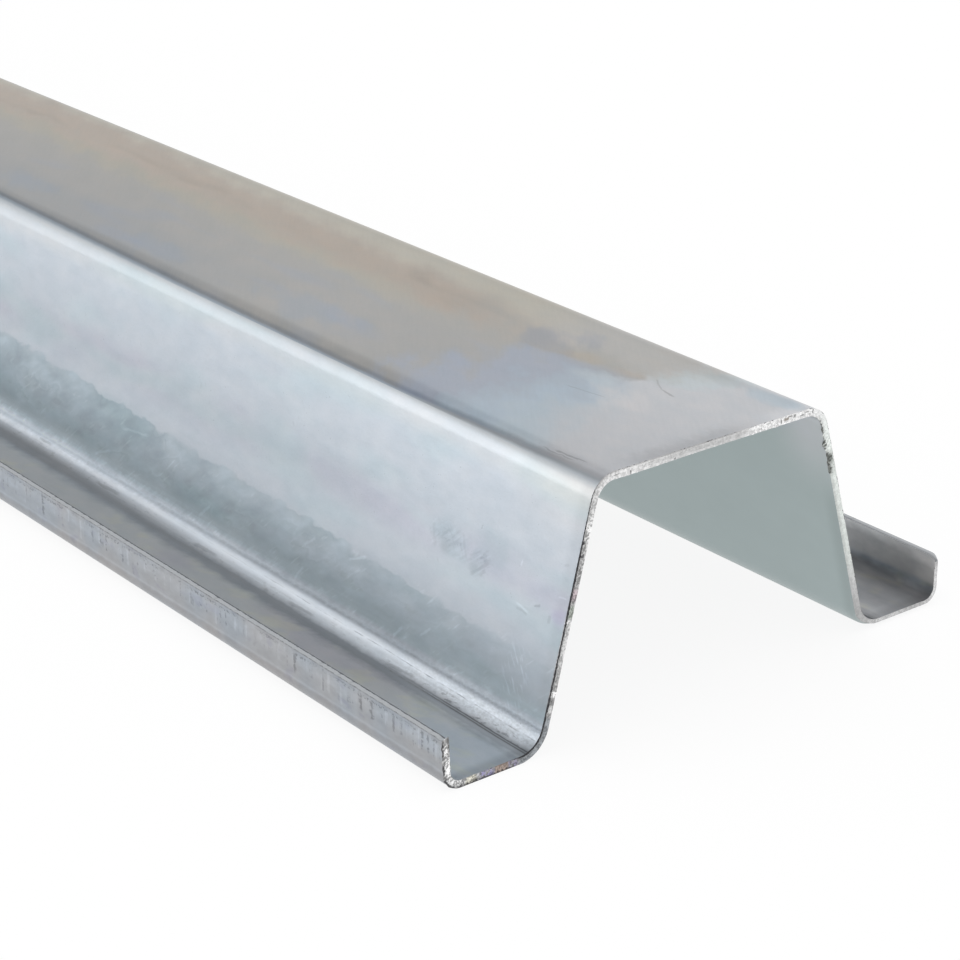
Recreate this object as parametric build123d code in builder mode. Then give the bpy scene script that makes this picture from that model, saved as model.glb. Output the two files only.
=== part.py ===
from build123d import *

import os
from math import cos, radians, tan

# Cold-formed omega profile in galvanised sheet: crown, two leaning webs, two flanges, two upturned lips.
# The length lies along X, the section stands in the YZ plane, and the flanges rest on Z = 0.

# Stock, in millimetres
length = 1000.0
thickness = 1.5

# Section
height = 50.0  # flange underside to crown top
crown_width = 54.0  # between the sharp corners that the crown's bends round off
web_lean = 15.0  # degrees from upright, wider at the foot
flange_width = 21.7  # underside, from the web's sharp corner to the lip's outer face
lip_height = 10.0  # flange underside to the lip's slit edge

# Inside radii of the bends
crown_bend = 4.0
foot_bend = 5.3
lip_bend = 2.2

# Sharp corners of the sheet's underside, as (Y, Z), from the middle of the crown outwards
web_slope = tan(radians(web_lean))
wall_across = thickness / cos(radians(web_lean))
crown_middle = (0, height - thickness)
crown_corner = (crown_width / 2 + thickness * web_slope - wall_across, height - thickness)
foot_corner = (crown_width / 2 + height * web_slope - wall_across, 0)
lip_corner = (foot_corner[0] + flange_width, 0)
lip_edge = (lip_corner[0], lip_height)

# The underside is inside the crown's bends and outside the other two
underside_bends = (crown_bend, foot_bend + thickness, lip_bend + thickness)

os.makedirs("parts", exist_ok=True)

# The strip is bent into the section and cut square at both ends
with BuildPart() as omega_profile:
    with BuildSketch(Plane.YZ) as section:
        with BuildLine() as sheet:
            half = FilletPolyline(
                crown_middle,
                crown_corner,
                foot_corner,
                lip_corner,
                lip_edge,
                radius=underside_bends,
            )
            mirror(half, about=Plane.YZ)
            offset(amount=thickness, side=Side.LEFT)
        make_face()
    extrude(amount=length / 2, both=True)

omega_profile.part.label = "omega_profile"
export_step(omega_profile.part, "parts/omega_profile.step")
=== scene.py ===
from functools import reduce
from math import cos, pi, radians, sin, tan

import bpy
import numpy as np
from mathutils import Matrix, Vector, noise


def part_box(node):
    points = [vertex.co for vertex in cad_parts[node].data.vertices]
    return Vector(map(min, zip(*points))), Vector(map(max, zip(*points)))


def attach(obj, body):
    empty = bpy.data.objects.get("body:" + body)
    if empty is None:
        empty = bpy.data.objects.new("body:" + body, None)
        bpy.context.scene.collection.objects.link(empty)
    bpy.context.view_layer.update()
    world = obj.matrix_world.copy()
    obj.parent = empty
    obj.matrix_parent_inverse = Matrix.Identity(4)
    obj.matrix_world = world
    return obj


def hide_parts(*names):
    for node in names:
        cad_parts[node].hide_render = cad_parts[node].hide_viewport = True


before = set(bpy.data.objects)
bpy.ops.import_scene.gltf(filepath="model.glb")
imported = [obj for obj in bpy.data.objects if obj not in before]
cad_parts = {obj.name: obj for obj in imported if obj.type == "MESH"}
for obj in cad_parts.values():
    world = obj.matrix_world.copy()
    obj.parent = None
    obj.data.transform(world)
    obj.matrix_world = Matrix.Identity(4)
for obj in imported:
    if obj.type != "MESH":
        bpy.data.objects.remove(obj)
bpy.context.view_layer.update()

mm = 0.001
NODE = "omega_profile"

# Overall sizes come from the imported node
low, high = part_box(NODE)
length = high.x - low.x
width = high.y - low.y
height = high.z - low.z

# Sheet and section, as in the node
thickness = 1.5 * mm
web_lean = radians(15)
flange_width = 21.7 * mm
lip_height = 10 * mm
crown_bend = 4 * mm
foot_bend = 5.3 * mm
lip_bend = 2.2 * mm

# Mesh density
flat_step = 3 * mm
bend_step = radians(5)
row_step = 4 * mm
cut_step = 0.4 * mm
through_steps = 6
# Rows near a cut end, as millimetres from it, each with fine or coarse columns
end_rows = [(0.0, "fine"), (0.12, "fine"), (0.4, "fine")] + [(at, "coarse") for at in (0.9, 1.5, 2.1, 2.7)]
# The crown's material ends on this column of its bend
border_column = 9

# Slit edges: the skins' corners are softened
slit_reach = 0.35 * mm
slit_loss = 0.1

# Both cut ends: the saw left a fine ragged burr on the skins' edges, and an uneven face
burr_height = 0.07 * mm
burr_reach = 0.25 * mm
face_roughness = 0.05 * mm
# Shown end: big burrs on the underside's edge, as (place across, reach along the edge, height) in mm
burrs = [
    (28.2, 0.4, 0.16), (29.6, 0.5, 0.26), (31, 0.4, 0.2), (32.6, 0.45, 0.8), (33.5, 0.5, 0.34),
    (36.8, 0.6, 0.22), (38.6, 0.6, 0.3), (-93.9, 0.4, 0.12), (-95.3, 0.4, 0.2), (-97.3, 0.5, 0.2),
    (-98.6, 0.35, 0.32), (-99.8, 0.3, 0.14), (-101.3, 0.4, 0.24), (9.5, 0.3, 0.1), (15.2, 0.4, 0.14),
    (-20.5, 0.3, 0.12), (-17, 8, 0.14), (35.2, 0.5, 0.2), (37.7, 0.4, 0.22),
]
# Shown end: the far lip's corner is knocked round
corner_reach = 2.6 * mm
corner_drop = 1 * mm
# Shown end: the near lip's corner stands up as a chip, and the lip leans outwards a little
chip_rise = 0.7 * mm
chip_reach = 0.5 * mm
chip_width = 1.5 * mm
lean_out = 0.22 * mm
lean_reach = 1.6 * mm
# Shown end: the far foot's outer edge is rolled over by the saw
roll_share = 0.9
roll_reach = 1 * mm
roll_start = 72 * mm
roll_ramp = 4 * mm


def section_runs():
    """Half of the mid-sheet line, from the crown's middle outwards: length, turn and radius of each run."""
    turn = pi / 2 - web_lean
    middle = thickness / 2
    radii = [inside + middle for inside in (crown_bend, foot_bend, lip_bend)]
    foot_corner = width / 2 - flange_width - middle * tan(web_lean) + middle / cos(web_lean)
    crown_corner = foot_corner - (height - thickness) * tan(web_lean)
    lip_corner = width / 2 - middle
    cut = [radii[0] * tan(turn / 2), radii[1] * tan(turn / 2), radii[2]]
    web = (height - thickness) / cos(web_lean)
    return [
        (crown_corner - cut[0], 0, 0),
        (radii[0] * turn, -turn, radii[0]),
        (web - cut[0] - cut[1], 0, 0),
        (radii[1] * turn, turn, radii[1]),
        (lip_corner - foot_corner - cut[1] - cut[2], 0, 0),
        (radii[2] * pi / 2, pi / 2, radii[2]),
        (lip_height - middle - cut[2], 0, 0),
    ]


runs = section_runs()
half_strip = sum(run for run, _, _ in runs)
lip_run = runs[-1][0]
crown_border = runs[0][0] + runs[1][0] * border_column / round((pi / 2 - web_lean) / bend_step)


def sheet_line(across):
    """Points and upward normals of the mid-sheet line at signed distances from the middle of the crown."""
    distance = np.abs(across)
    y, z, slope = (np.zeros_like(distance) for _ in range(3))
    start, course = 0.0, 0.0
    here = np.array([0.0, height - thickness / 2])
    for run, turn, radius in runs:
        beyond = distance >= start - 1e-9
        d = distance[beyond] - start
        if turn:
            side = np.sign(turn)
            centre = here + side * radius * np.array([-sin(course), cos(course)])
            angle = course + side * d / radius
            y[beyond] = centre[0] + side * radius * np.sin(angle)
            z[beyond] = centre[1] - side * radius * np.cos(angle)
            course += turn
            here = centre + side * radius * np.array([sin(course), -cos(course)])
        else:
            angle = np.full_like(d, course)
            y[beyond] = here[0] + d * cos(course)
            z[beyond] = here[1] + d * sin(course)
            here = here + run * np.array([cos(course), sin(course)])
        slope[beyond] = angle
        start += run
    mirror = np.where(across < 0, -1.0, 1.0)
    return y * mirror, z, -np.sin(slope) * mirror, np.cos(slope)


def columns():
    """Places across the sheet, the finer places of a cut end, and where the first come among the second."""
    half = [0.0]
    for run, turn, _ in runs:
        steps = max(2, round(abs(turn) / bend_step)) if turn else max(2, round(run / flat_step))
        half += list(half[-1] + run * np.arange(1, steps + 1) / steps)
    coarse = np.array([-s for s in half[:0:-1]] + half)
    fine, index = [coarse[0]], [0]
    for a, b in zip(coarse[:-1], coarse[1:]):
        steps = max(1, round((b - a) / cut_step))
        fine += list(a + (b - a) * np.arange(1, steps + 1) / steps)
        index.append(len(fine) - 1)
    return coarse, np.array(fine), index


def through_levels():
    """Levels of the vertices between the two skins."""
    return np.linspace(1, -1, through_steps + 1)[1:-1]


def ring(across):
    """Closed loop of top skin, far slit edge, underside and near slit edge, as (across, through)."""
    inner = through_levels()
    ends = np.full(len(inner), across[-1]), np.full(len(inner), across[0])
    skin = np.ones(len(across))
    return (
        np.concatenate([across, ends[0], across[::-1], ends[1]]),
        np.concatenate([skin, inner, -skin, inner[::-1]]),
    )


def ragged(a, b, c, seed):
    """Smooth seeded noise at each place, about -1 to 1."""
    return np.array([noise.noise(Vector((p, q, r + seed))) for p, q, r in zip(a, b, c)])


def edge_burr(along, across, through):
    """How far the saw pushed the skin's edge outwards at a cut end, and how rough its face is."""
    from_end = np.minimum(along, length - along)
    near_cut = np.exp(-((from_end / burr_reach) ** 2))
    if near_cut.max() < 1e-3:
        return np.zeros_like(across), np.zeros_like(across)
    s = across / mm
    fine = ragged(s * 1.1, through, along * 0, 3.0) + 0.6 * ragged(s * 2.7, through, along * 0, 8.0)
    out = burr_height * np.abs(fine)
    shown_end = along < length / 2
    for at, reach, tall in burrs:
        lump = tall * mm * np.exp(-(((s - at) / reach) ** 2)) * (1 + 0.5 * fine)
        out = out + np.where(shown_end & (through < -0.5), lump, 0)
    face = face_roughness * ragged(s * 1.6, through * 1.3, along * 0, 5.0) * (from_end < 1e-6)
    return out * near_cut, face


def near_end(along, reach):
    """1 at the shown cut end, falling off within the reach."""
    return np.exp(-((along / reach) ** 2))


def place(along, across, through):
    """Vertices of the sheet: along from the shown cut end, through from 1 on top to -1 underneath."""
    reach = np.clip(1 - along / corner_reach, 0, 1)
    drop = corner_drop * (1 - np.sqrt(1 - reach**2))
    on_far_lip = np.clip((across - half_strip + lip_run) / lip_run, 0, 1)
    on_near_lip = np.clip((-across - half_strip + lip_run) / lip_run, 0, 1)
    lifted = np.clip((-across - half_strip + chip_width) / chip_width, 0, 1) ** 2
    rise = chip_rise * near_end(along, chip_reach) * lifted * (0.7 + 0.3 * through)
    y, z, normal_y, normal_z = sheet_line(across - drop * on_far_lip - rise)

    slit = np.clip((half_strip - np.abs(across)) / slit_reach, 0, 1)
    rounding = 1 - slit_loss * (1 - slit)
    rolled = roll_share * near_end(along, roll_reach) * np.clip((across - roll_start) / roll_ramp, 0, 1)
    rounding = rounding * np.where(through < 0, 1 - rolled, 1)
    out, face = edge_burr(along, across, through)
    offset = thickness / 2 * through * rounding + out * np.sign(through) * (np.abs(through) > 0.99)
    offset = offset - lean_out * on_near_lip * near_end(along, lean_reach)

    inwards = np.where(along < length / 2, -1, 1)
    up = np.maximum(z + normal_z * offset, low.z)
    return np.stack([high.x - along + inwards * np.abs(face), y + normal_y * offset, up], 1)


class Sheet:
    """Collects the vertices, strip coordinates and faces of the profile's one closed mesh."""

    CROWN, FLANK, UNDERSIDE, SLIT, CUT = range(5)

    def __init__(self):
        self.count = 0
        self.verts, self.strip, self.faces, self.slots = [], [], [], []

    def add(self, along, across, through):
        at = np.full(len(across), along)
        self.verts.append(place(at, across, through))
        self.strip.append(np.stack([at / mm, across / mm, through], 1))
        self.count += len(across)
        return self.count - len(across)

    def face(self, corners, slot):
        self.faces.append(tuple(int(c) for c in corners))
        self.slots.append(slot)


def cap(sheet, fine, start, far):
    """Grid of faces that closes a cut end, inside the loop of vertices that begins at start."""
    inner, count = through_steps - 1, len(fine)
    grid = np.zeros((count, through_steps + 1), int)
    grid[:, 0] = start + np.arange(count)
    grid[:, -1] = start + count + inner + np.arange(count)[::-1]
    grid[-1, 1:-1] = start + count + np.arange(inner)
    grid[0, 1:-1] = start + 2 * count + inner + np.arange(inner)[::-1]
    across, through = np.meshgrid(fine[1:-1], through_levels(), indexing="ij")
    first = sheet.add(length if far else 0.0, across.ravel(), through.ravel())
    grid[1:-1, 1:-1] = first + np.arange(across.size).reshape(across.shape)
    for i in range(count - 1):
        for j in range(through_steps):
            corners = (grid[i, j], grid[i, j + 1], grid[i + 1, j + 1], grid[i + 1, j])
            sheet.face(corners[::-1] if far else corners, sheet.CUT)


def sheet_mesh():
    """Rows of vertices along the sheet, joined by bands of faces and closed by a cap at each end."""
    coarse, fine, index = columns()
    loops = {"coarse": ring(coarse), "fine": ring(fine)}
    near = [(at * mm, kind) for at, kind in end_rows]
    middle = np.linspace(row_step, length - row_step, round(length / row_step))
    rows = near + [(at, "coarse") for at in middle] + [(length - at, kind) for at, kind in near[::-1]]

    sheet = Sheet()
    starts = [sheet.add(at, *loops[kind]) for at, kind in rows]
    inner, n_coarse, n_fine = through_steps - 1, len(coarse), len(fine)

    def in_fine(c):
        """Where a place of the coarse loop comes in the fine loop."""
        if c < n_coarse:
            return index[c]
        if c < n_coarse + inner:
            return n_fine + c - n_coarse
        if c < 2 * n_coarse + inner:
            return 2 * n_fine + inner - 1 - index[2 * n_coarse + inner - 1 - c]
        return 2 * (n_fine - n_coarse) + c

    def zone(twice_across, twice_through):
        """The slot of a long face, from the sums of its edges' places."""
        if abs(twice_through) < 1.99:
            return sheet.SLIT
        if twice_through < 0:
            return sheet.UNDERSIDE
        return sheet.CROWN if abs(twice_across) < 2 * crown_border else sheet.FLANK

    def band(a, kind_a, b, kind_b):
        """Faces between two rows."""
        same = kind_a == kind_b
        places, through = loops[kind_a if same else "coarse"]
        total = len(loops["fine"][1])
        for c in range(len(through)):
            d = (c + 1) % len(through)
            slot = zone(places[c] + places[d], through[c] + through[d])
            if same:
                sheet.face((a + c, b + c, b + d, a + d), slot)
                continue
            many = [f % total for f in range(in_fine(c), (in_fine(d) or total) + 1)]
            if kind_a == "fine":
                sheet.face([a + f for f in many[::-1]] + [b + c, b + d], slot)
            else:
                sheet.face([a + c] + [b + f for f in many] + [a + d], slot)

    for (_, kind_a), (_, kind_b), a, b in zip(rows[:-1], rows[1:], starts[:-1], starts[1:]):
        band(a, kind_a, b, kind_b)

    cap(sheet, fine, starts[0], far=False)
    cap(sheet, fine, starts[-1], far=True)
    return sheet


def bake_map(sheet):
    """Places on the bake's picture of each face's corners.

    The skins lie one above the other, with more room near the shown end. The slit edges lie between them, and
    the two cut ends along the top.
    """
    crowding = 400
    top_from, underside_from, skin_share = 0.03, 0.53, 0.43
    near_slit_from, far_slit_from = 0.48, 0.505
    shown_cut_from, far_cut_from, edge_share = 0.965, 0.984, 0.015

    counts = [len(face) for face in sheet.faces]
    corners = np.concatenate(sheet.strip)[[corner for face in sheet.faces for corner in face]]
    slots = np.repeat(sheet.slots, counts)
    along, across, through = corners.T
    over = (across * mm / half_strip + 1) / 2
    inside = edge_share * (through + 1) / 2
    u = np.log1p(along / crowding) / np.log1p(length / (crowding * mm))
    v = np.where(slots == sheet.UNDERSIDE, underside_from, top_from) + skin_share * over
    v = np.where(slots == sheet.SLIT, np.where(across < 0, near_slit_from, far_slit_from) + inside, v)
    cut = slots == sheet.CUT
    u = np.where(cut, over, u)
    v = np.where(cut, np.where(along * mm < length / 2, shown_cut_from, far_cut_from) + inside, v)
    return np.stack([u, v], 1)


def build_sheet(materials):
    """The visible piece. It stands in for the CAD node, and keeps its strip coordinates for the materials."""
    sharp_edge = radians(50)
    sheet = sheet_mesh()
    mesh = bpy.data.meshes.new("omega_profile_sheet")
    mesh.from_pydata(np.concatenate(sheet.verts).tolist(), [], sheet.faces)
    strip = mesh.attributes.new("strip", "FLOAT_VECTOR", "POINT")
    strip.data.foreach_set("vector", np.concatenate(sheet.strip).astype(np.float32).ravel())
    bake = mesh.uv_layers.new(name="OFBake")
    bake.data.foreach_set("uv", bake_map(sheet).astype(np.float32).ravel())
    for material in materials:
        mesh.materials.append(material)
    mesh.polygons.foreach_set("material_index", sheet.slots)
    mesh.polygons.foreach_set("use_smooth", [True] * len(sheet.faces))
    mesh.set_sharp_from_angle(angle=sharp_edge)
    mesh.update()
    piece = bpy.data.objects.new("omega_profile_sheet", mesh)
    bpy.context.scene.collection.objects.link(piece)
    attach(piece, "root")
    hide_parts(NODE)
    return piece


# Blender's noise lies about 0.5 and is spread to about -1 to 1. A seed moves it along its plane
noise_spread = 3.6
seed_shift = 17.3
# How far scratches wander off their line, as a share of the wander noise
scratch_wander = 0.22


class Field:
    """A number or colour that varies from place to place: the output of a shader node, with arithmetic."""

    def __init__(self, nodes, socket):
        self.nodes, self.socket = nodes, socket

    def __add__(self, other):
        return self.nodes.math("ADD", self, other)

    __radd__ = __add__

    def __sub__(self, other):
        return self.nodes.math("SUBTRACT", self, other)

    def __rsub__(self, other):
        return self.nodes.math("SUBTRACT", other, self)

    def __mul__(self, other):
        return self.nodes.math("MULTIPLY", self, other)


class Nodes:
    """Builds a shader node tree."""

    def __init__(self, tree):
        self.tree = tree

    def new(self, kind, **settings):
        node = self.tree.nodes.new("ShaderNode" + kind)
        for name, value in settings.items():
            setattr(node, name, value)
        return node

    def feed(self, socket, value):
        if isinstance(value, Field):
            self.tree.links.new(value.socket, socket)
        elif isinstance(value, tuple) and len(socket.default_value) == 4:
            socket.default_value = (*value, 1)
        else:
            socket.default_value = value

    def math(self, operation, *values, kind="Math"):
        node = self.new(kind, operation=operation)
        for socket, value in zip(node.inputs, values):
            self.feed(socket, value)
        return Field(self, node.outputs[0])

    def size(self, value):
        return self.math("ABSOLUTE", value)

    def least(self, a, b):
        return self.math("MINIMUM", a, b)

    def most(self, *values):
        return reduce(lambda a, b: self.math("MAXIMUM", a, b), values)

    def step(self, value, start, end):
        """Smooth step from 0 at start to 1 at end; start may be the larger."""
        node = self.new("MapRange", interpolation_type="SMOOTHSTEP")
        self.feed(node.inputs["Value"], value)
        self.feed(node.inputs["From Min"], start)
        self.feed(node.inputs["From Max"], end)
        return Field(self, node.outputs[0])

    def window(self, value, start, end, soft):
        """1 between start and end, 0 outside them."""
        return self.step(value, start - soft, start + soft) * self.step(value, end + soft, end - soft)

    def graph(self, value, points):
        """Straight lines through the points, whose levels go up to 1."""
        first, last = points[0][0], points[-1][0]
        node = self.new("ValToRGB")
        elements = node.color_ramp.elements
        for _ in points[2:]:
            elements.new(0.5)
        for element, (at, level) in zip(elements, points):
            element.position = (at - first) / (last - first)
            element.color = (level, level, level, 1)
        self.feed(node.inputs[0], (value - first) * (1 / (last - first)))
        return Field(self, node.outputs[0])

    def mix(self, share, a, b):
        """a where share is 0, b where it is 1."""
        node = self.new("Mix", data_type="RGBA")
        for name, value in (("Factor_Float", share), ("A_Color", a), ("B_Color", b)):
            self.feed(next(socket for socket in node.inputs if socket.identifier == name), value)
        return Field(self, next(socket for socket in node.outputs if socket.identifier == "Result_Color"))

    def scale(self, colour, factor):
        node = self.new("VectorMath", operation="SCALE")
        self.feed(node.inputs[0], colour)
        self.feed(node.inputs["Scale"], factor)
        return Field(self, node.outputs[0])

    def times(self, colour, factors):
        return self.math("MULTIPLY", colour, factors, kind="VectorMath")

    def tint(self, colour, *layers):
        """The colour times each (share, factor) in turn: in full at share 1, unchanged at share 0."""
        for share, factor in layers:
            factors = factor if isinstance(factor, tuple) else (factor, factor, factor)
            change = tuple(f - 1 for f in factors)
            grown = self.math("MULTIPLY_ADD", share, change, (1, 1, 1), kind="VectorMath")
            colour = self.times(colour, grown)
        return colour

    def cover(self, colour, *layers):
        """The colour with each (share, colour) laid over it in turn."""
        for share, layer in layers:
            colour = self.mix(share, colour, layer)
        return colour


class Paint(Nodes):
    """A metal whose look is worked out from the place on the sheet: along, across and through it."""

    def __init__(self, name):
        self.material = bpy.data.materials.new(name)
        self.material.use_nodes = True
        super().__init__(self.material.node_tree)
        self.shader = self.tree.nodes["Principled BSDF"]
        strip = self.new("Attribute", attribute_name="strip")
        split = self.new("SeparateXYZ")
        self.tree.links.new(strip.outputs["Vector"], split.inputs[0])
        self.along, self.across, self.through = (Field(self, socket) for socket in split.outputs)

    def past(self, start, end):
        """Smooth step along the sheet."""
        return self.step(self.along, start, end)

    def over(self, start, end):
        """Smooth step across the sheet."""
        return self.step(self.across, start, end)

    def band(self, start, end, soft):
        """1 between two places across the sheet."""
        return self.window(self.across, start, end, soft)

    def texture(self, dimensions, socket, place, detail):
        """Noise about -1 to 1 at a place on a line or plane whose unit is the size of a feature."""
        node = self.new("TexNoise", noise_dimensions=dimensions)
        node.inputs["Scale"].default_value = 1.0
        node.inputs["Detail"].default_value = detail
        self.feed(node.inputs[socket], place)
        return (Field(self, node.outputs[0]) - 0.5) * noise_spread

    def plane(self, u, v, detail):
        """Noise on a plane."""
        spot = self.new("CombineXYZ")
        self.feed(spot.inputs[0], u)
        self.feed(spot.inputs[1], v)
        return self.texture("2D", "Vector", Field(self, spot.outputs[0]), detail)

    def noise(self, size_along, size_across, seed, detail=1.0, turn=0):
        """Noise with features of that size in millimetres, turned by that many degrees."""
        along, across = self.along, self.across
        if turn:
            c, s = cos(radians(turn)), sin(radians(turn))
            along, across = along * c + across * s, across * c - along * s
        return self.plane(along * (1 / size_along) + seed * seed_shift, across * (1 / size_across), detail)

    def beat(self, size_along, seed, detail=1.0):
        """Noise that changes along the sheet only."""
        return self.texture("1D", "W", self.along * (1 / size_along) + seed * seed_shift, detail)

    def patch(self, along, across, reach_along, reach_across, frayed=0.5):
        """A soft cloud centred on a place, 1 in its middle."""
        a = (self.along - along) * (1 / reach_along)
        b = (self.across - across) * (1 / reach_across)
        distance = self.math("SQRT", a * a + b * b) + self.cloud * frayed
        return self.step(distance, 1.15, 0.35)

    def scratch(self, start, end, width):
        """A thin line from start to end, as (along, across)."""
        dx, dy = end[0] - start[0], end[1] - start[1]
        run = (dx * dx + dy * dy) ** 0.5
        ux, uy = dx / run, dy / run
        a, b = self.along - start[0], self.across - start[1]
        down = a * ux + b * uy
        off = self.size(b * ux - a * uy + self.wander * scratch_wander)
        return self.step(off, width, width * 0.3) * self.window(down, 0, run, run * 0.12)

    def scratches(self, lines):
        """Several scratches, each as (start, end, width, strength)."""
        return self.most(*[self.scratch(*line) * strength for *line, strength in lines])

    def finish(self, colour, metallic, roughness, bump, bump_height):
        for name, value in (("Base Color", colour), ("Metallic", metallic), ("Roughness", roughness)):
            self.feed(self.shader.inputs[name], value)
        node = self.new("Bump")
        node.inputs["Strength"].default_value = 1.0
        node.inputs["Distance"].default_value = bump_height * mm
        self.feed(node.inputs["Height"], bump)
        self.tree.links.new(node.outputs[0], self.shader.inputs["Normal"])
        return self.material


# Noises that the surfaces share: size along, size across, seed, and then detail and turn if they have them
NOISES = {
    "cloud": (14, 8, 1, 3),
    "slant": (15, 6, 1, 3, 34),
    "wander": (3, 1.8, 2, 2),
    "patches": (32, 8.5, 3),
    "scallop": (9, 4, 4, 2, -24),
    "cells": (6, 3, 5, 2),
    "streaks": (26, 0.55, 6, 2),
    "rising": (3.2, 0.6, 7, 1, 52),
    "falling": (4.2, 0.8, 8, 1, -42),
    "ragged": (1.5, 0.7, 9, 2),
    "brush": (8, 0.6, 11, 2, 36),
    "grain": (0.7, 0.5, 10),
}

shiny_metallic = 0.9
shiny_roughness = 0.36


class Skin(Paint):
    """One of the long zinc surfaces, with the noises it needs."""

    def __init__(self, name, *noises):
        super().__init__(name)
        self.side = self.size(self.across)
        self.away = self.least(self.along, 260)
        for noise_name in noises:
            setattr(self, noise_name, self.noise(*NOISES[noise_name]))

    def vary(self, colour, tone):
        """Zinc is never even: small changes of tone, and warmer and cooler spots."""
        warm = self.cells * 0.6 + self.cloud * 0.5
        return self.tint(
            self.scale(colour, tone + 1),
            (self.most(warm, 0), (1.02, 1, 0.985)),
            (self.most(warm * -1, 0), (0.982, 1, 1.012)),
        )


def bend_colour(p):
    """Bright zinc of the crown's bend, the same on both sides of the crown's border."""
    return p.mix(p.past(20, 110), (0.457, 0.492, 0.525), (0.426, 0.458, 0.488))


def old_zinc(p, behind):
    """Warm old zinc in drifting streaks, with violet clouds, an iridescent edge and painted shade far from
    the cut.
    """
    beige = p.mix(p.past(50, 80), (0.447, 0.44, 0.424), (0.455, 0.434, 0.378))
    drift = p.across - p.away * 0.035 + p.slant * 2.4
    streak = p.window(drift, 1.5, 13, 3.5) * p.step(p.along + p.slant * 10, 56, 96)
    dark_streak = p.window(drift, 4.5, 9.5, 2) * p.step(p.patches, 0, 0.9) * streak
    old = p.tint(
        p.mix(p.over(-6, 8), (0.379, 0.376, 0.368), (0.397, 0.388, 0.366)),
        # Painted shade: darker far from the shown cut, standing in for the crown's dimmer reflection there
        (p.past(90, 210), 0.895),
        (p.past(110, 150) * p.over(-8, -16), (0.92, 0.95, 0.99)),
    )
    old = p.cover(old, (p.step(drift, 8, 13.5), beige), (streak, (0.41, 0.356, 0.306)))
    old = p.tint(
        old,
        (dark_streak, 0.87),
        (p.window(drift, -3.5, 2, 2) * p.past(70, 110) * 0.8, (1.06, 1.03, 0.94)),
        (p.step(p.patches, 0.1, 0.9) * p.over(6, -4), (0.95, 0.99, 1.07)),
        (p.patch(102, -16, 16, 7), (0.93, 0.99, 1.08)),
        (p.patch(157, -20, 13, 5), (0.93, 0.99, 1.08)),
        (p.patch(219, -17, 12, 5), (0.93, 0.99, 1.08)),
        (p.patch(58, 10.5, 10, 7, 0.6), (0.86, 0.89, 0.99)),
        (p.patch(34, 9.5, 5, 2.4), (1.08, 1, 0.93)),
        (p.patch(46.5, 8.5, 6, 3), (1.06, 1, 0.93)),
    )
    bloom = p.mix(p.step(behind, 8, -4), (0.362, 0.401, 0.476), (0.366, 0.427, 0.502))
    return p.mix(p.window(behind, -3, 19, 7) * p.over(12, 3) * 0.9, old, bloom)


def fresh_zinc(p, behind):
    """Clean lavender-grey zinc near the shown cut, bluer towards the clouded edge."""
    onset = p.along - (p.across + 24) * 0.36 + p.slant * 5 + p.wander * 0.8
    fresh = p.mix(p.over(-26, 20), (0.495, 0.506, 0.532), (0.562, 0.575, 0.6))
    blue = p.mix(p.step(behind, -16, -2), (0.426, 0.496, 0.552), (0.4, 0.476, 0.556))
    fresh = p.mix(p.step(onset, 12, 28) * p.over(9, 4), fresh, blue)
    return p.cover(
        p.tint(fresh, (p.patch(26, -1, 9, 5, 0.6), (1.09, 1.06, 1.04))),
        (p.patch(7, 21.8, 8, 2.6) * 0.7, (0.45, 0.535, 0.6)),
        (p.patch(37, 4.5, 7, 3.5) * 0.7, (0.48, 0.545, 0.59)),
    )


def crown_colour(p):
    """Fresh zinc near the shown cut, old zinc behind a clouded edge, a few marks, and painted shade just
    behind the cut.
    """
    edge = p.graph(p.across, [
        (-26, 0.44), (-18, 0.44), (-8, 0.4), (-2, 0.41), (3, 0.39), (7, 0.345), (10, 0.29), (16, 0.28),
        (22, 0.24), (26, 0.22),
    ]) * 100
    crisp = 1 + p.band(6.5, 11, 2.5) * 1.2
    swing = p.mix(p.over(8, -2), (5, 5, 5), (9, 9, 9))
    behind = (p.along - edge + p.slant * swing + p.wander * 1.3) * crisp
    scratches = p.scratches((
        ((20, 8.2), (24, 8.8), 0.34, 1), ((24, 8.8), (28.5, 11.6), 0.28, 0.7),
        ((28, -1.8), (37, -3.2), 0.24, 0.6), ((6.5, -23.9), (14, -24.1), 0.22, 1),
        ((9, -24.5), (17, -24.6), 0.18, 0.8),
    ))
    return p.tint(
        p.mix(p.step(behind, 8, -8), old_zinc(p, behind), fresh_zinc(p, behind)),
        (p.window(behind, -9, 1.5, 3) * p.over(9, 14) * 0.8, (0.95, 1.03, 1.03)),
        # Painted shade: dim just behind the shown cut, standing in for the darker reflection of the slightly
        # rolled edge
        (p.step(p.along + p.wander, 5.5, 0.3) * p.band(-17.5, 8, 5), 0.8),
        (p.over(20, 23), 0.94),
        (p.past(4.5, 1.5) * p.over(11, 16), 1.09),
        (p.patch(20.5, 21, 6.5, 2.8), 0.89),
        (p.most(scratches, p.step(p.grain + p.wander * 0.6, 1.15, 1.6) * 0.4), 0.72),
    )


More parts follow.
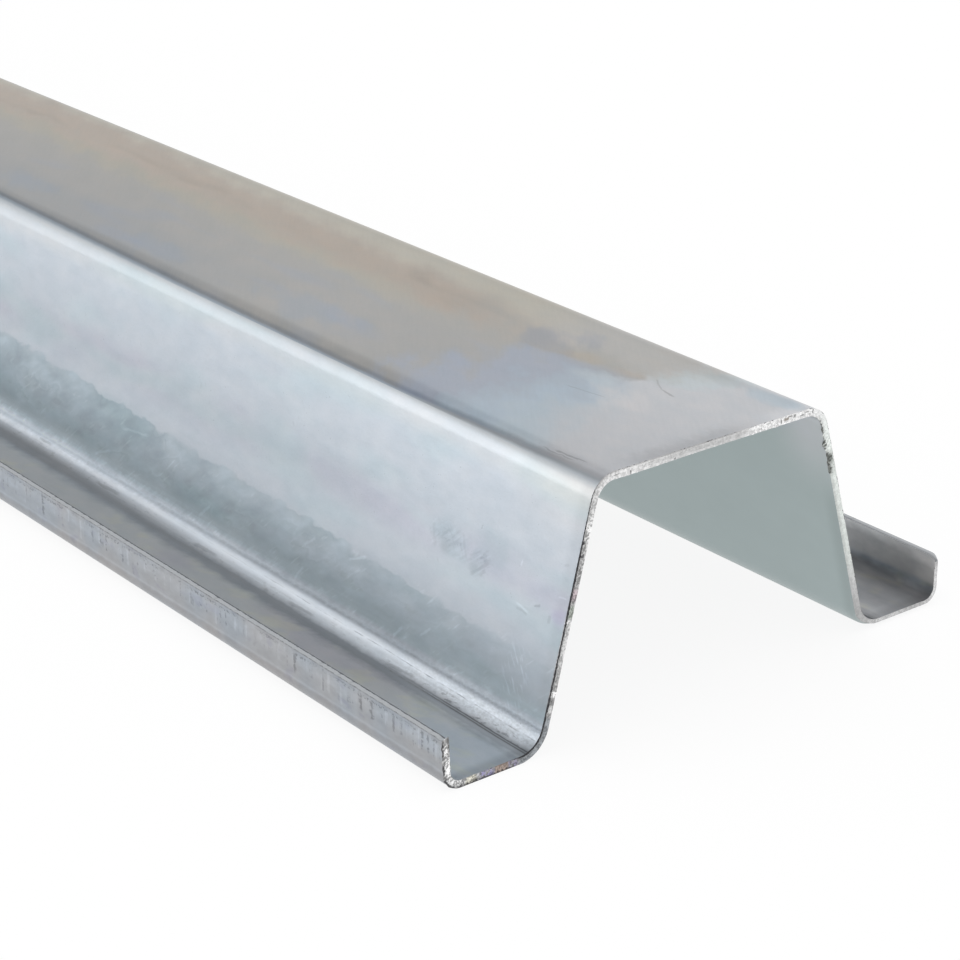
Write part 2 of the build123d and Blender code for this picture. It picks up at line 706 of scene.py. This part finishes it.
def crown_skin():
    """The crown's top, and the upper part of its bends with a painted dark reflection line along them."""
    p = Skin("zinc_crown", "slant", "wander", "patches", "cells", "brush", "grain")
    p.cloud = p.slant
    tone = p.slant * 0.026 + p.cells * 0.024 + p.brush * 0.016 + p.grain * 0.014
    # Painted shade: a dark line along the crown's bend, standing in for the dark band of the studio that the
    # bend reflects; it drifts and fades with the distance from the cut
    centre = 25.26 + p.past(8, 20) * 0.19 + p.past(22, 58) * 0.5
    off = p.side - (centre - p.step(p.away, 75, 270) * 1.2 + p.wander * 0.05)
    weak = p.past(14, 4) * 0.35 + p.past(40, 70) * 0.18
    line = p.step(off, -1, 0) * p.step(off, 1.1, 0.45) * (1 - weak)
    near = p.past(64, 40)
    colour = p.tint(
        p.mix(p.step(off, 0, 0.5), p.vary(crown_colour(p), tone), bend_colour(p)),
        (line * near, (0.665, 0.66, 0.665)),
        (line * (1 - near), (0.6, 0.655, 0.725)),
    )
    roughness = shiny_roughness + p.cells * 0.02
    return p.finish(colour, shiny_metallic, roughness, p.cells * 0.6 + p.brush * 0.2, 0.01)


def web_colour(p):
    """Bluish zinc with violet clouds and a painted highlight at the top, above a darker band: the zinc's own
    scales with painted shade for the lip and flange it reflects.
    """
    side = p.side
    violet = p.window(side + p.cloud * 1.5, 44.5, 51, 3) * p.step(p.patches, -0.4, 0.6)
    colour = p.tint(
        p.mix(p.past(20, 110), (0.428, 0.467, 0.513), (0.397, 0.434, 0.477)),
        # Painted highlight: the upper web lighter, most near the shown cut, for the bright panel it reflects
        (p.step(side, 43, 30), 1.06),
        (p.past(26, 4) * p.step(side, 42, 28), (1.06, 1, 0.95)),
        (p.past(4, 1.5), 0.92),
        (violet, (0.965, 0.93, 0.965)),
        (p.window(side, 44, 51, 3) * p.past(40, 70), 0.93),
        (p.step(p.patches, 0.2, -1), (0.95, 1, 0.995)),
        (p.patch(1.6, -51, 3, 2.4, 0.7), (0.96, 0.9, 0.99)),
    )

    # The darker band: partly painted shade for the dark lip and flange that the lower web reflects, partly
    # the zinc's own scales, spots and darker core
    down = side - 60.2 + p.away * 0.032 + p.scallop + p.wander * 0.35
    strong = p.past(-45, 62)
    soft = p.step(p.patches + p.cells * 0.5, -0.2, 1)
    band = p.mix(soft, p.step(down, -0.15, 0.5), p.step(down, -1, 1.6)) * strong
    lumps = p.patches * 0.05 + p.scallop * 0.085 + p.cloud * 0.03
    colour = p.scale(p.tint(colour, (band, (0.84, 0.88, 0.885))), band * lumps + 1)
    fall = p.math("FRACT", down * 0.17 + p.scallop * 0.34 + p.wander * 0.05 + 10)
    overlap = fall * p.step(fall, 1, 0.8)
    clear = p.step(side, 72, 69) * p.step(p.cloud, -0.6, 0.7)
    core = p.window(side + p.away * 0.012 + p.scallop, 65.8, 69.2, 1.2)
    spots = p.step(p.cells, -0.1, 0.8) * p.window(side + p.away * 0.012 + p.wander * 0.5, 64, 69, 1)
    return p.tint(
        colour,
        (band * p.past(90, 190), (0.93, 0.955, 0.96)),
        (band * (0.45 - overlap) * clear, 0.84),
        (core * strong, (0.93, 0.955, 0.95)),
        (spots * strong, (0.89, 0.895, 0.89)),
    )


def web_marks(p):
    """Feathers of zinc crystal and small scratches, from -1 for dark to 1 for light."""
    strokes = (
        ((22.4, -48), (26.8, -51.5), 0.6, 0.6), ((24.9, -46.6), (28, -48.4), 0.45, 0.3),
        ((28.8, -49.4), (31, -45.4), 0.4, 0.3), ((31, -46.5), (34.6, -49), 0.55, 0.35),
        ((38, -50.1), (39.6, -46.1), 0.6, 0.3), ((10, -53.3), (13, -53), 0.32, 0.45),
        ((7, -50.6), (8.5, -51.2), 0.32, 0.8), ((4.2, -51.5), (3.9, -52.9), 0.48, 0.5),
        ((1.9, -41.5), (3.1, -41.7), 0.3, 0.4),
    )
    feathers = (
        ((9.8, -52.9), (13.2, -52.3), 0.3, 0.6), ((13.7, -44.6), (14, -45.6), 0.3, 0.7),
        ((0.8, -47.4), (2.8, -47.6), 0.24, 0.7), ((34.6, -65), (37, -67.3), 0.4, 0.8),
        ((42.6, -67.6), (44.6, -70.2), 0.42, 0.9), ((57, -58.8), (61.8, -60.9), 0.35, 0.9),
        ((73.5, -60.5), (76.4, -62.9), 0.45, 0.7), ((75.4, -67.2), (77.6, -69.9), 0.45, 0.7),
        ((109.6, -65.6), (112.8, -69), 0.45, 0.8), ((136, -58.9), (146, -60.2), 0.4, 0.7),
        ((149.5, -66.4), (155, -68.6), 0.45, 0.8),
    )
    cluster = p.most(
        p.patch(24.8, -48.8, 3.8, 3.4), p.patch(32.4, -47.8, 5.2, 3, 0.6),
        p.patch(38.8, -48, 2, 3, 0.4) * 0.8,
    )
    smudges = p.most(p.patch(35.2, -49.4, 2.2, 1.7), p.patch(26, -50.3, 2.2, 1.4, 0.4))
    dark_loose = p.step(p.rising, 0.55, 1.2) * p.step(p.cloud, 0.2, 0.9) * p.window(p.side, 36, 62, 4)
    pits = p.step(p.grain + p.wander * 0.6, 1.1, 1.5) * p.step(p.side, 60, 50)
    dark = p.most(
        smudges * 0.38,
        cluster * p.step(p.falling + p.ragged * 0.5, 0, 0.9) * 0.62,
        cluster * p.step(p.rising + p.ragged * 0.4, 0.35, 1) * 0.42,
        p.scratches(strokes),
        dark_loose * 0.5,
        pits * 0.7,
    )
    loose = p.step(p.falling, 0.15, 1) * p.step(p.cells, -0.2, 0.8) * p.window(p.side, 58.5, 71, 1.5)
    light = p.most(
        p.patch(10, -65, 4.5, 6.5, 0.3) * p.step(p.rising, 0.2, 0.8),
        cluster * p.step(p.falling + p.wander * 0.4, -0.1, -0.9) * 0.45,
        p.scratches(feathers),
        loose * 0.8,
    )
    return light - dark


def foot_colour(p, web):
    """Painted highlight and shade along the foot bend, standing in for its reflection, with the rolls' marks
    and the dull flange beyond it.
    """
    side = p.side
    fringe = (p.falling * 0.2 + p.cells * 0.22) * p.window(side, 68, 72.4, 1)
    fringe = fringe + p.ragged * (0.1 + p.past(60, 15) * 0.1)
    lapping = p.step(side, 76.3, 78.5) * p.past(40, 60) * 0.62
    spot = side + p.past(48, 80) * 0.12 + fringe + p.wander * 0.16
    spot = spot + p.cells * p.step(side, 74, 76) * 0.22 + (p.scallop + p.falling * 0.3) * lapping
    # Painted highlight and shade: levels across the foot bend that stand in for its reflection of the bright
    # panel and the dark lip, near the cut and far from it
    near_painted_reflection = p.graph(spot, [
        (66, 0.43), (69.2, 0.44), (70.1, 0.52), (71, 0.65), (71.8, 0.46), (73, 0.44), (73.9, 0.55),
        (75.1, 0.66), (75.9, 0.49), (76.7, 0.27), (78.4, 0.225), (79.5, 0.32), (80.6, 0.4), (92, 0.425),
    ])
    far_painted_reflection = p.graph(spot, [
        (66, 0.4), (68, 0.46), (69.2, 0.54), (70.1, 0.74), (71, 0.97), (71.9, 0.78), (72.8, 0.46),
        (73.8, 0.27), (75.5, 0.21), (77.3, 0.24), (78.5, 0.32), (80, 0.385), (92, 0.4),
    ])
    level = p.mix(p.past(35, 185), near_painted_reflection, far_painted_reflection)
    # Painted light: the foot bend lighter near the shown cut, and darker at the cut itself
    painted_light_gain = p.window(side, 66, 72.2, 1) * 0.17 + p.window(side, 77.4, 79.3, 0.5) * 0.45
    painted_light_gain = painted_light_gain + p.step(side, 79, 80) * 0.12
    level = level * (1 + painted_light_gain * p.past(46, 20)) * (1 - p.past(3.6, 1) * p.step(side, 73, 75.5) * 0.25)
    level = level * (1 + p.streaks * (0.012 + p.step(side, 79, 77) * 0.023))
    # Painted glints: the grain flickers the painted highlight near the cut
    painted_glints = p.window(side, 71, 76, 0.8) * p.past(60, 5)
    level = level * (1 + (p.grain * 0.1 + p.ragged * 0.1) * painted_glints)
    flange = p.tint(
        p.mix(p.step(p.along + p.cloud * 8, 8, 38), (0.9, 1, 1.1), (0.975, 1, 1.02)),
        (p.step(p.scallop + p.cloud * 0.5, 0, 0.8), (1.07, 1.055, 0.95)),
        (p.step(p.patches, 0.1, 0.8), (0.95, 0.925, 0.97)),
    )
    hue = p.mix(p.step(side, 69.4, 70.6), (0.86, 1, 1.085), (0.925, 1, 1.085))
    hue = p.mix(p.step(side, 77.5, 80.5), hue, flange)
    foot = p.tint(p.scale(hue, level), (foot_marks(p), 0.42))
    return p.mix(p.step(side, 66.2, 69.2), web, foot)


def foot_marks(p):
    """Lines, notches, specks and smears that the rolls left in the foot bend, from 0 to 1 for dark."""
    drift = p.side + p.away * 0.008
    line = drift + p.beat(20, 44) * 0.1 + p.ragged * 0.05
    dashes = p.step(p.beat(5, 43, 2), -0.5, 0.5) * p.past(140, 40)
    near = p.step(p.along + p.cloud * 8 + p.ragged * 6, 42, 20)
    notches = p.step(p.ragged + p.cells * 0.6, 0.35, 1) * p.window(drift, 74.6, 76.6, 0.5)
    specks = p.step(p.ragged, 0.7, 1.1) * p.window(p.side, 71.5, 76, 1) * p.past(34, 6)
    smears = (
        ((35, -75.4), (43, -75.9), 0.54, 0.42), ((68, -75.2), (76, -75.5), 0.54, 0.42),
        ((103, -74.9), (111, -75.1), 0.567, 0.42), ((142, -74.3), (151, -74.5), 0.567, 0.42),
        ((173, -72.3), (178, -72.4), 0.405, 0.42),
    )
    return p.most(
        p.step(p.size(line - 73.9), 0.16, 0.04) * dashes * 0.75,
        p.step(p.size(line - 76.75), 0.22, 0.07) * near * 0.85,
        p.step(p.size(line - 77.3), 0.22, 0.07) * near * 0.8,
        notches * (p.past(46, 22) * 0.42 + 0.2),
        specks * 0.6,
        p.scratches(smears),
    )


def far_foot(p, colour):
    """The far side's trough lies in its own shade, deepest in the lip's bend."""
    level = p.graph(p.across + p.cloud * 0.9 + p.wander * 0.2, [
        (76, 0.76), (79, 0.82), (81, 0.68), (82.5, 0.58), (86, 0.5), (89, 0.36), (91.5, 0.27), (94, 0.23),
        (95.5, 0.4), (96.5, 0.5), (98, 0.54), (100.5, 0.58), (101.4, 0.7), (102.5, 0.84),
    ]) * 1.5
    level = level * (1 + p.patches * 0.06 + p.cloud * 0.16 + p.cells * 0.06)
    level = level * (0.67 + p.past(8, 24) * 0.22 + p.past(5, 1) * p.over(90, 87) * 0.12)
    level = level * (1 + p.over(94.5, 97) * (0.08 + p.past(3, 18) * 0.42))
    lit = p.scale(p.mix(p.over(93, 97), (1.08, 1, 0.95), (1.02, 1, 0.985)), level)
    return p.times(colour, p.mix(p.over(75.5, 79), (1, 1, 1), lit))


def flank_skin():
    """The webs, feet and flanges on their top side, with the lips' inner faces."""
    p = Skin(
        "zinc_flank", "cloud", "wander", "patches", "scallop", "cells", "streaks", "rising", "falling",
        "ragged", "grain",
    )
    side = p.side
    smudge = p.patch(22.5, -45.5, 5.5, 5) * 0.8 + p.patch(25.5, -49, 2.5, 3, 0.4)
    web = p.tint(
        p.mix(p.step(side, 26.6, 27.6), bend_colour(p), web_colour(p)),
        # Painted light on the crown bend's highlight: warmer over it, and dimmer at its brightest part
        (p.window(side, 26.7, 31, 1.5), (1.025, 1, 0.965)),
        (p.window(side, 26.9, 28.4, 0.5), 0.91),
        (p.least(smudge + p.patch(33.5, -48, 7, 3.6), 1), (0.89, 0.93, 0.93)),
    )
    top = p.mix(p.step(side, 96, 97.5), foot_colour(p, web), (0.55, 0.555, 0.56))
    marks = web_marks(p) * p.window(side, 30, 71.5, 1)
    top = p.tint(far_foot(p, top), (p.most(marks, 0), 1.21), (p.most(marks * -1, 0), 0.74))
    tone = p.cloud * 0.028 + p.cells * 0.028 + p.scallop * 0.022 * p.step(side, 72, 60)
    top = p.vary(top, tone + p.grain * 0.014 + p.wander * 0.012)
    dull_band = p.step(side, 60, 67) * p.step(side, 71.6, 70.8)
    dull = p.most(dull_band, p.step(side, 76, 79) * p.step(side, 96, 90))
    shaded = p.over(76, 80)
    metallic = shiny_metallic - dull * 0.4 - shaded * 0.35
    roughness = shiny_roughness + p.cells * 0.02 + shaded * 0.34
    return p.finish(top, metallic, roughness, p.cells * 0.6 + p.grain * 0.15, 0.01)


def lip_outside(p):
    """The lips' outer faces, with a dull foot, bluish clouds and the ticks of the rolls."""
    side = p.side
    clouds = p.step(p.patches + p.beat(11, 52) * 0.8, -0.9, 0.9)
    groups = p.step(p.beat(13, 53, 2) + p.cells * 0.3, -0.5, 0.3)
    reach = p.window(side + p.cells * 1.6 + p.wander * 0.5, 98.6, 101.8, 0.6)
    ticks = p.step(p.beat(1.7, 54, 3) + p.ragged * 0.5 + p.wander * 0.3, 0.2, 0.8)
    outer = p.tint(
        p.mix(clouds, (0.326, 0.357, 0.395), (0.352, 0.36, 0.376)),
        (p.window(side + p.wander * 0.12, 94.6, 96.3, 0.35), (0.93, 0.9, 0.88)),
        (p.window(side + p.wander * 0.1, 96.45, 96.95, 0.2), 1.1),
        (p.step(side, 98.8, 100.4), 1.11),
        (p.past(14, 5) * p.window(side, 99, 101.6, 0.6), (1.03, 1.08, 1.12)),
        (ticks * reach * groups, 0.6),
        (p.step(p.beat(1.8, 55, 2) + p.wander * 0.3, 0.3, 0.9) * reach, 1.15),
    )
    specks = p.step(p.grain + p.cells * 0.6, 0, 0.6) * p.window(side + p.wander * 0.1, 101.5, 102.1, 0.15)
    return p.tint(
        p.scale(outer, p.wander * 0.05 + p.cells * 0.045 + p.ragged * 0.025 + 1),
        (p.step(p.cells - p.wander * 0.4, 0.3, 1.1), (0.91, 0.905, 0.955)),
        (p.step(p.wander * 0.5 - p.cells, 0.1, 0.9) * reach, (1.05, 1.06, 1.07)),
        (p.step(side + p.wander * 0.15, 101.6, 102.1) * p.step(p.cells, -0.5, 0.4), 0.84),
        (specks * (0.25 + groups * 0.75), 0.62),
    )


def underside_skin():
    """Smooth grey-green underside, and the lips' outer faces."""
    p = Skin("zinc_underside", "cloud", "wander", "patches", "cells", "ragged", "grain")
    inside = p.tint(
        p.mix(p.past(16, 4) * p.over(46, 30), (0.38, 0.445, 0.447), (0.485, 0.516, 0.533)),
        (p.patch(9, 26, 10, 8), (1, 0.985, 1.035)),
        (p.past(4, 1) * p.over(40, 50), 0.88),
    )
    inside = p.scale(inside, p.cloud * 0.012 + p.cells * 0.008 + 1)
    colour = p.mix(p.step(p.side, 80, 92), inside, lip_outside(p))
    return p.finish(colour, shiny_metallic, shiny_roughness, p.cells, 0.006)


def slit_edge():
    """The strip's long edges, slit before rolling: dull bright metal, with a painted shadow line and a dark
    outer rim on the near one, and painted shade on the far one.
    """
    p = Paint("slit_edge")
    rough = p.noise(1.4, 0.9, 2, detail=2)
    near, far = p.over(1, -1), p.over(-1, 1)
    # Painted shadow: a near-black line along the near edge's inner corner
    inner_shadow_rim = p.step(p.through + rough * 0.2, 0.45, 0.8) * near
    colour = p.tint(
        p.mix(inner_shadow_rim, (0.425, 0.44, 0.456), (0.105, 0.112, 0.123)),
        (p.step(rough, 0.2, 1), 0.84),
        (p.step(p.through + rough * 0.25, -0.6, -0.9) * near, 0.5),
        # Painted shade over the far edge, darkest on its top skin's side
        (far, 0.99),
        (far * p.step(p.through, -0.3, 0.6), 0.62),
    )
    return p.finish(colour, 0.4, 0.6, rough, 0.02)


class Cut(Paint):
    """A sawn face, with fine and coarse grit."""

    def __init__(self, name):
        super().__init__(name)
        self.fine, self.coarse = self.grit(2.1, 5), self.grit(0.75, 40)

    def grit(self, fineness, shift):
        return self.plane(self.across * fineness + shift, self.through * (fineness * 0.75), 2)


def cut_cracks(p):
    """Fine cracks over the crown's far part, and chips, from 0 to 1 for dark."""
    # (place across, place through, reach across, reach through, depth)
    chips = (
        (16.4, 0, 0.2, 0.65, 0.8), (18.6, 0.5, 0.6, 0.16, 0.7), (19.7, 0.2, 0.3, 0.35, 0.7),
        (21.5, -0.15, 0.6, 0.18, 0.7), (22.7, 0.35, 0.55, 0.16, 0.6), (24.2, 0.35, 0.18, 0.55, 0.8),
        (23.4, -0.35, 0.35, 0.15, 0.5), (13.2, 0.45, 0.6, 0.15, 0.5), (11.3, -0.35, 0.4, 0.16, 0.5),
        (-19.2, -0.6, 0.18, 0.45, 0.7), (-22.4, -0.1, 0.9, 0.15, 0.5), (-9, -0.7, 0.25, 0.25, 0.6),
        (-14.5, 0.35, 1, 0.12, 0.35), (-5, 0.45, 1.6, 0.12, 0.3), (-3, -0.3, 1.2, 0.14, 0.3),
    )
    cracks = p.step(p.size(p.fine - p.coarse * 0.4), 0.12, 0.03) * p.band(8.5, 24, 0.5) * 0.4
    for at, height, wide, tall, depth in chips:
        a = (p.across - at + p.fine * 0.12) * (1 / wide)
        b = (p.through - height + p.coarse * 0.12) * (1 / tall)
        cracks = p.most(cracks, p.step(a * a + b * b, 1.3, 0.5) * depth)
    return cracks


def cut_level(p):
    """Brightness of the sawn face: bright over the crown, dark and speckled down the near web, with painted
    shade along its top rims.
    """
    level = p.graph(p.across, [
        (-102.6, 0.55), (-97, 0.74), (-92, 0.56), (-88.5, 0.55), (-87.5, 0.32), (-80, 0.26),
        (-70, 0.28), (-67.5, 0.5), (-65, 0.38), (-61, 0.38), (-57, 0.55), (-52, 0.5), (-50, 0.36),
        (-38, 0.39), (-35, 0.6), (-30, 0.54), (-20, 0.78), (-8, 0.64), (7, 0.62), (10, 0.88), (25, 0.83),
        (48, 0.77), (60, 0.68), (72, 0.42), (80, 0.62), (90, 0.46), (94, 0.66), (99, 0.66), (102.6, 0.46),
    ])
    slope = p.graph(p.across, [
        (-102.6, 0.35), (-97, 0.1), (-90, 0), (-84, 0.45), (-78, 0.6), (-70, 0.66), (-48, 0.54),
        (-38, 0.8), (-28, 0.6), (-20, 0.5), (24, 0.5), (28, 0.3), (50, 0.25), (72, 0.45), (102.6, 0.5),
    ]) - 0.5
    contrast = p.graph(p.across, [
        (-102.6, 0.56), (-91, 0.56), (-86, 0.34), (-69, 0.34), (-66, 0.5), (-60, 0.34), (-52, 0.34),
        (-48, 0.46), (-36, 0.52), (-31, 0.32), (-24, 0.2), (-8, 0.11), (7, 0.12), (9, 0.2), (24, 0.2),
        (28, 0.12), (33, 0.18), (41, 0.08), (72, 0.08), (76, 0.16), (102.6, 0.16),
    ])
    under = p.step(p.through, 0.2, -0.8)
    grains = p.step(p.fine * 0.8 + p.coarse * 0.6, -0.55, 0.55) * 2 - 1
    level = level * (1.04 + slope * under) * (1 + contrast * grains)
    middle = p.step(p.size(p.through), 0.6, 0.25) * p.band(-17, 9, 3)
    level = level * (1 - middle * 0.14)
    level = level * (1 + p.band(-65.2, -64.2, 0.1) * 0.9) * (1 + p.band(-51.5, -50.8, 0.1) * 0.7)
    level = level * (1 - p.band(-66.7, -65.3, 0.15) * 0.45)
    level = p.most(level * (1 - cut_cracks(p) * 0.85), 0.035)
    # Painted shade along the top rims of the crown's and the near lip's faces, standing in for the
    # rounded-over edge
    top_rim_shade = p.step(p.through + p.coarse * 0.08, 0.5, 0.78) * p.band(-28, 6, 2)
    lip_top_shade = p.step(p.through + p.fine * 0.1, 0.4, 0.65) * p.over(-99, -100.5)
    return level * (1 - p.most(top_rim_shade * 0.3, lip_top_shade * 0.5))


def cut_hue(p):
    """Tint of the sawn face: heat colours on the near flange, faint pink and green on the near web."""
    stain = p.across + p.coarse * 0.5 + p.fine * 0.25
    broken = p.step(p.fine * 0.6 - p.coarse, -0.7, 0.5)
    return p.cover(
        (1, 1, 1),
        (p.band(-50.6, -48.3, 0.3), (0.95, 1.03, 0.93)),
        (p.window(p.across + p.coarse * 0.3, -47.4, -45.2, 0.4), (1.14, 0.97, 1.03)),
        (p.band(28, 62, 4), (0.97, 1.02, 0.985)),
        (p.band(-79, -69, 0.5), (0.94, 1, 1.06)),
        (p.window(stain, -90.5, -88.4, 0.3), (1.06, 1.03, 0.9)),
        (p.window(stain, -87.4, -84.4, 0.4) * broken, (0.93, 0.86, 1.42)),
        (p.window(stain, -84.2, -81.2, 0.4), (1.18, 0.94, 0.82)),
        (p.window(stain, -81.2, -79, 0.4) * broken, (0.95, 0.87, 1.28)),
    )


def cut_rims(p):
    """Black outline of the sawn face's edges, thickest at the top of the near web, from 0 to 1."""
    thick = p.graph(p.across, [
        (-102.6, 0.12), (-99, 0), (-88, 0), (-80, 0.05), (-78.5, 0.58), (-69, 0.62), (-66, 0.72),
        (-52, 0.74), (-48, 0.68), (-38, 0.6), (-35, 0.36), (-28, 0.3), (-24, 0.05), (102.6, 0),
    ])
    outline = p.step(p.through + p.fine * 0.2 + p.coarse * 0.16 + thick, 1.02, 1.14)
    pale_rim = p.step(p.through + p.fine * 0.1, 0.76, 0.94) * p.band(-66, -49, 2)
    blots = p.step(p.coarse + p.fine * 0.5, 0.25, 0.7) * p.band(-45, -36, 1)
    lip_rim = p.step(p.through + p.fine * 0.25, -0.4, -0.72) * p.over(-91, -94)
    flange_rim = p.step(p.through + p.fine * 0.3, -0.45, -0.75) * p.band(-92, -80, 0.8)
    return p.most(
        outline * (1 - pale_rim * 0.8),
        blots * p.step(p.through, -0.9, -0.3) * 0.85,
        lip_rim * p.step(p.coarse, -0.7, 0.1) * 0.9,
        flange_rim * 0.8,
    )


def cut_soot(p):
    """Dark dirt round the burrs at the top of the far web, from 0 to 1."""
    low_spot = p.step(p.size(p.across - 32.6 + p.coarse * 0.2), 1, 0.3)
    wide_spot = p.step(p.size(p.across - 36.2 + p.coarse * 0.5 + p.fine * 0.3), 1.5, 0.6)
    last_spot = p.step(p.size(p.across - 38.5 + p.fine * 0.4), 1, 0.3)
    rim_dirt = p.band(34.6, 38.9, 0.3) * p.step(p.through + p.fine * 0.4 + p.coarse * 0.3, -0.3, -0.75)
    soot = p.most(
        low_spot * p.step(p.through + p.fine * 0.3, -0.35, -0.8),
        wide_spot * p.step(p.through + p.fine * 0.5, 0.95, 0.1),
        last_spot * p.step(p.through + p.fine * 0.5, 0.1, -0.5),
        rim_dirt,
    ) * (0.72 + p.step(p.fine - p.coarse * 0.5, 0.4, -0.4) * 0.28)
    ragged_line = p.step(p.through + p.fine * 0.3 + p.coarse * 0.2, -0.78, -1) * p.band(25.5, 35, 0.8)
    return p.most(soot * 0.92, ragged_line * 0.8)


def cut_face():
    """The sawn ends."""
    p = Cut("cut_face")
    brown = p.step(p.size(p.across - 17.7 + p.fine * 0.15), 0.9, 0.4)
    brown = brown * p.step(p.size(p.through - 0.1 + p.coarse * 0.1), 0.45, 0.2)
    mottled = p.band(34.6, 39.5, 0.8) * p.step(p.fine + p.coarse * 0.4, -0.3, 0.5)
    colour = p.cover(
        p.scale(cut_hue(p), cut_level(p)),
        (brown * 0.75, (0.2, 0.16, 0.12)),
        (cut_rims(p), (0.022, 0.022, 0.026)),
        (mottled * 0.6, (0.26, 0.27, 0.25)),
        (cut_soot(p), (0.035, 0.04, 0.032)),
    )
    return p.finish(colour, 0.3, 0.5, p.fine * 0.6 + p.coarse, 0.06)


def build_world():
    """Studio: white round the horizon with a bright panel at the left, grey above it, and bright overhead."""
    world = bpy.data.worlds.new("studio")
    bpy.context.scene.world = world
    world.use_nodes = True
    w = Nodes(world.node_tree)
    view = w.new("TexCoord")
    split = w.new("SeparateXYZ")
    w.tree.links.new(view.outputs["Generated"], split.inputs[0])
    x, y, up = (Field(w, socket) for socket in split.outputs)

    def elevation(degrees):
        return sin(radians(degrees))

    brightest = 2.0
    bands = [(0, 0.97), (24, 0.95), (32, 0.85), (38, 0.42), (49, 0.42), (62, 1.75), (90, 1.75)]
    dome = w.graph(up, [(elevation(degrees), level / brightest) for degrees, level in bands]) * brightest
    panel_bearing, panel_extra = 230, 1.5
    beside = w.size(w.math("ARCTAN2", y, x) - radians(panel_bearing - 360))
    panel = w.step(beside, radians(50), radians(4)) * w.step(up, elevation(34), elevation(26))
    background = w.tree.nodes["Background"]
    background.inputs["Color"].default_value = (1, 1, 1, 1)
    w.feed(background.inputs["Strength"], dome + panel * panel_extra)


def build_floor():
    """A wide pale floor. The camera and mirrored rays see it nearly white, with a faint shadow."""
    reach = 40.0
    drop = 0.05 * mm
    white_share = 0.9
    mesh = bpy.data.meshes.new("floor")
    corners = [(x * reach, y * reach, -drop) for x, y in ((-1, -1), (1, -1), (1, 1), (-1, 1))]
    mesh.from_pydata(corners, [], [(0, 1, 2, 3)])
    floor = bpy.data.objects.new("floor", mesh)
    bpy.context.scene.collection.objects.link(floor)
    material = bpy.data.materials.new("floor")
    material.use_nodes = True
    n = Nodes(material.node_tree)
    n.tree.nodes.clear()
    diffuse = n.new("BsdfDiffuse")
    diffuse.inputs["Color"].default_value = (0.9, 0.9, 0.9, 1)
    glow = n.new("Emission")
    path = n.new("LightPath")
    seen = n.most(Field(n, path.outputs["Is Camera Ray"]), Field(n, path.outputs["Is Glossy Ray"]))
    mix = n.new("MixShader")
    out = n.new("OutputMaterial")
    n.feed(mix.inputs[0], seen * white_share)
    n.tree.links.new(diffuse.outputs[0], mix.inputs[1])
    n.tree.links.new(glow.outputs[0], mix.inputs[2])
    n.tree.links.new(mix.outputs[0], out.inputs[0])
    mesh.materials.append(material)


def build_lamp():
    """A large weak soft box overhead, at the left, for the soft shadow."""
    data = bpy.data.lights.new("softbox", "AREA")
    data.shape = "SQUARE"
    data.size = 1.6
    radiance = 0.5
    data.energy = radiance * pi * data.size**2
    lamp = bpy.data.objects.new("softbox", data)
    bpy.context.scene.collection.objects.link(lamp)
    lamp.location = (0.3, -0.6, 2.2)
    aim = Vector((0.35, 0, 0)) - lamp.location
    lamp.rotation_euler = aim.to_track_quat("-Z", "Y").to_euler()
    lamp.visible_camera = False


def build_camera():
    """To the left of the shown cut end, above the floor, and turned a little about its own axis."""
    data = bpy.data.cameras.new("camera")
    data.sensor_width = 36.0
    data.lens = 101.776
    data.clip_start, data.clip_end = 0.01, 200.0
    camera = bpy.data.objects.new("camera", data)
    bpy.context.scene.collection.objects.link(camera)
    spot = Vector((0.82735, -0.30168, 0.23082))
    yaw, pitch, roll = 0.65170029, 0.40135723, -0.01188896
    ahead = Vector((-cos(pitch) * cos(yaw), cos(pitch) * sin(yaw), -sin(pitch)))
    right = ahead.cross(Vector((0, 0, 1))).normalized()
    up = right.cross(ahead)
    turned_right = right * cos(roll) + up * sin(roll)
    turned_up = up * cos(roll) - right * sin(roll)
    axes = Matrix((turned_right, turned_up, -ahead)).transposed()
    camera.matrix_world = Matrix.Translation(spot) @ axes.to_4x4()
    bpy.context.scene.camera = camera


build_sheet([crown_skin(), flank_skin(), underside_skin(), slit_edge(), cut_face()])
build_world()
build_floor()
build_lamp()
build_camera()
bpy.context.scene.view_settings.view_transform = "Standard"
